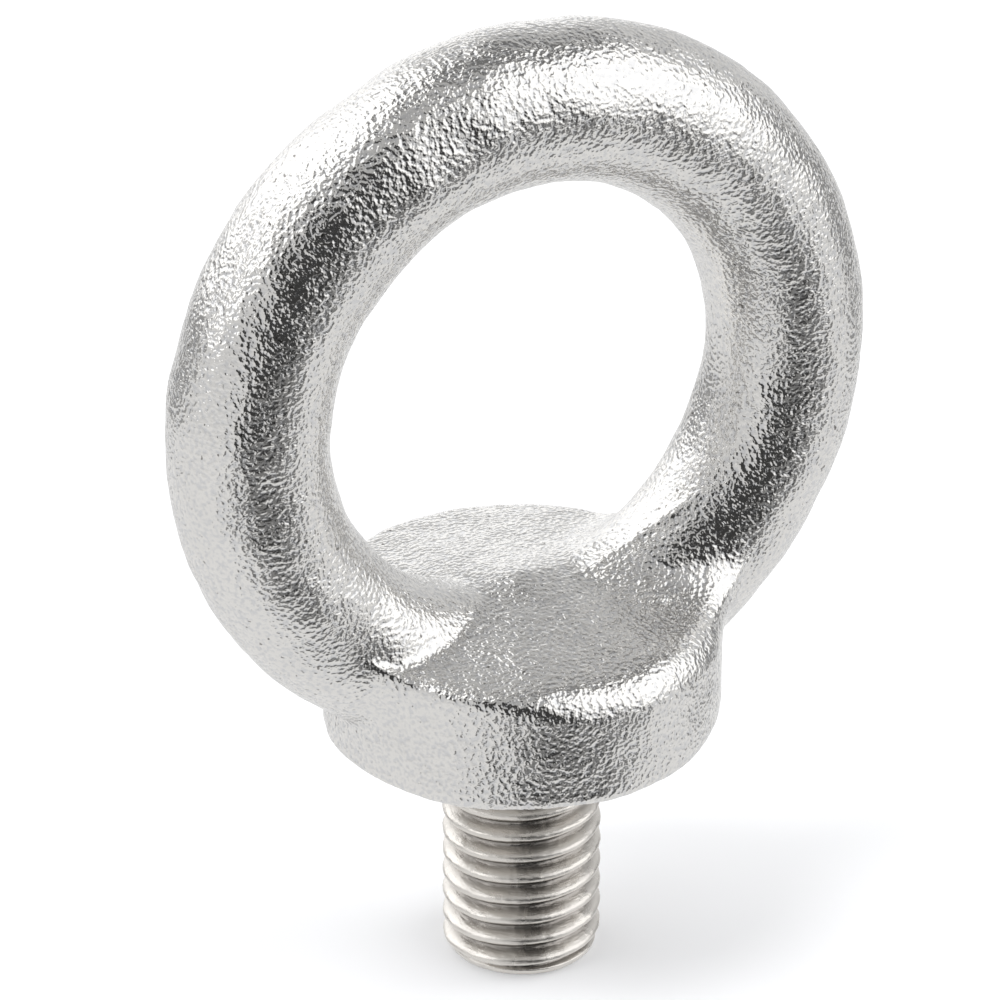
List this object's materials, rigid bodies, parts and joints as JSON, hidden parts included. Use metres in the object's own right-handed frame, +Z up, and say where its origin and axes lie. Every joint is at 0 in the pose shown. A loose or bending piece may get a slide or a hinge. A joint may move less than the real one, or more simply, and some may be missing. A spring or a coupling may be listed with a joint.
{
  "type": "lifting eye bolt",
  "caption": "Fixed lifting eye bolt of cast stainless steel: an upright round ring on a round collar, with a threaded shank below.",
  "frame": {"origin": "centre of the shank's lower end, on which the part stands", "axes": "+Z up along the thread axis, +Y along the ring's axis, +X across the ring"},
  "size_m": [0.0542, 0.029, 0.0726],
  "materials": {
    "cast_steel": "bright stainless steel, cast and blasted, with a fine orange-peel grain",
    "machined_steel": "stainless steel with a cut thread, smoother and slightly warmer, with a few open pores"
  },
  "bodies": {
    "root": {"lifting_eye": "cast_steel", "threaded_shank": "machined_steel"}
  },
  "joints": []
}
